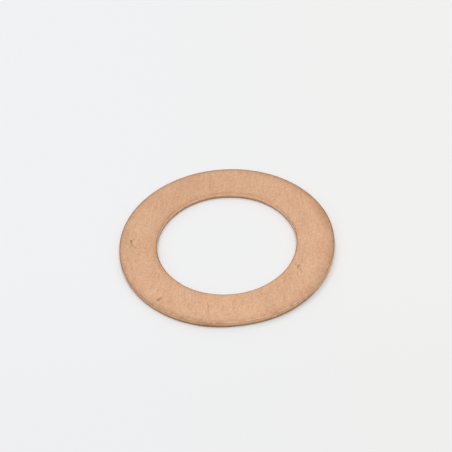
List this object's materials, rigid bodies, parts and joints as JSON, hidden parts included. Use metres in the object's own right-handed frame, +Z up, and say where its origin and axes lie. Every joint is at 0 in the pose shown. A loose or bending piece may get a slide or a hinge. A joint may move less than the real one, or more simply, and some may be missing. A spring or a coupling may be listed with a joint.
{
  "type": "connecting rod washer",
  "caption": "Thin flat copper-alloy ring that runs between the side of a connecting rod's big end and the crank web.",
  "frame": {"origin": "on the axis of the hole, at the lower face that it lies on", "axes": "+Z up along the axis of the hole, out of the face with the rolled-over edges; +Y is away from the camera"},
  "size_m": [0.039, 0.039, 0.001],
  "materials": {
    "copper_alloy": "satin, tumbled, lightly tarnished"
  },
  "bodies": {
    "root": {"washer": "copper_alloy"}
  },
  "joints": []
}
